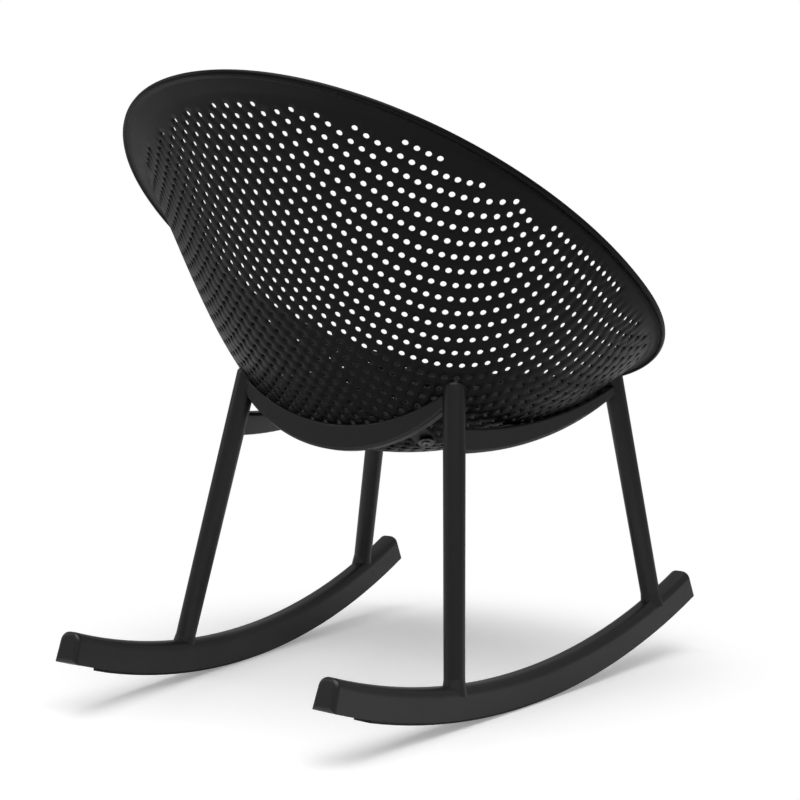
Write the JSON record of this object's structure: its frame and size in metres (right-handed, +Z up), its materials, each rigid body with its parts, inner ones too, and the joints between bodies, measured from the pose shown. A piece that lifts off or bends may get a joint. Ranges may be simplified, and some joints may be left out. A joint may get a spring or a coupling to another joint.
{
  "type": "moulded plastic rocking chair",
  "caption": "Bucket-seat rocking chair: a perforated moulded shell on a slim round-legged frame that stands on two curved rockers with wear strips.",
  "frame": {"origin": "on the floor, at the middle of the chair's overall box", "axes": "+Z up, -Y the way the sitter faces, +X the sitter's left; X = 0 is the plane of symmetry"},
  "size_m": [0.7198, 0.8099, 0.8188],
  "materials": {
    "shell_plastic": "satin, fine moulded texture",
    "frame_plastic": "satin moulded plastic",
    "rocker_plastic": "satin moulded plastic",
    "strip_rubber": "matte resilient strip",
    "stainless": "stainless steel",
    "insert_brass": "plain brass"
  },
  "bodies": {
    "root": {"seat_shell": "shell_plastic", "left_rear_leg": "frame_plastic", "right_rear_leg": "frame_plastic", "left_front_leg": "frame_plastic", "right_front_leg": "frame_plastic", "rear_rail": "frame_plastic", "front_rail": "frame_plastic", "left_side_rail": "frame_plastic", "right_side_rail": "frame_plastic", "left_rocker": "rocker_plastic", "right_rocker": "rocker_plastic", "left_wear_strip": "strip_rubber", "right_wear_strip": "strip_rubber", "shell_screws": "stainless", "shell_screw_washers": "stainless", "rocker_bolts": "stainless", "rocker_bolt_washers": "stainless", "strip_screws": "stainless", "shell_inserts": "insert_brass", "leg_foot_inserts": "insert_brass"}
  },
  "joints": []
}
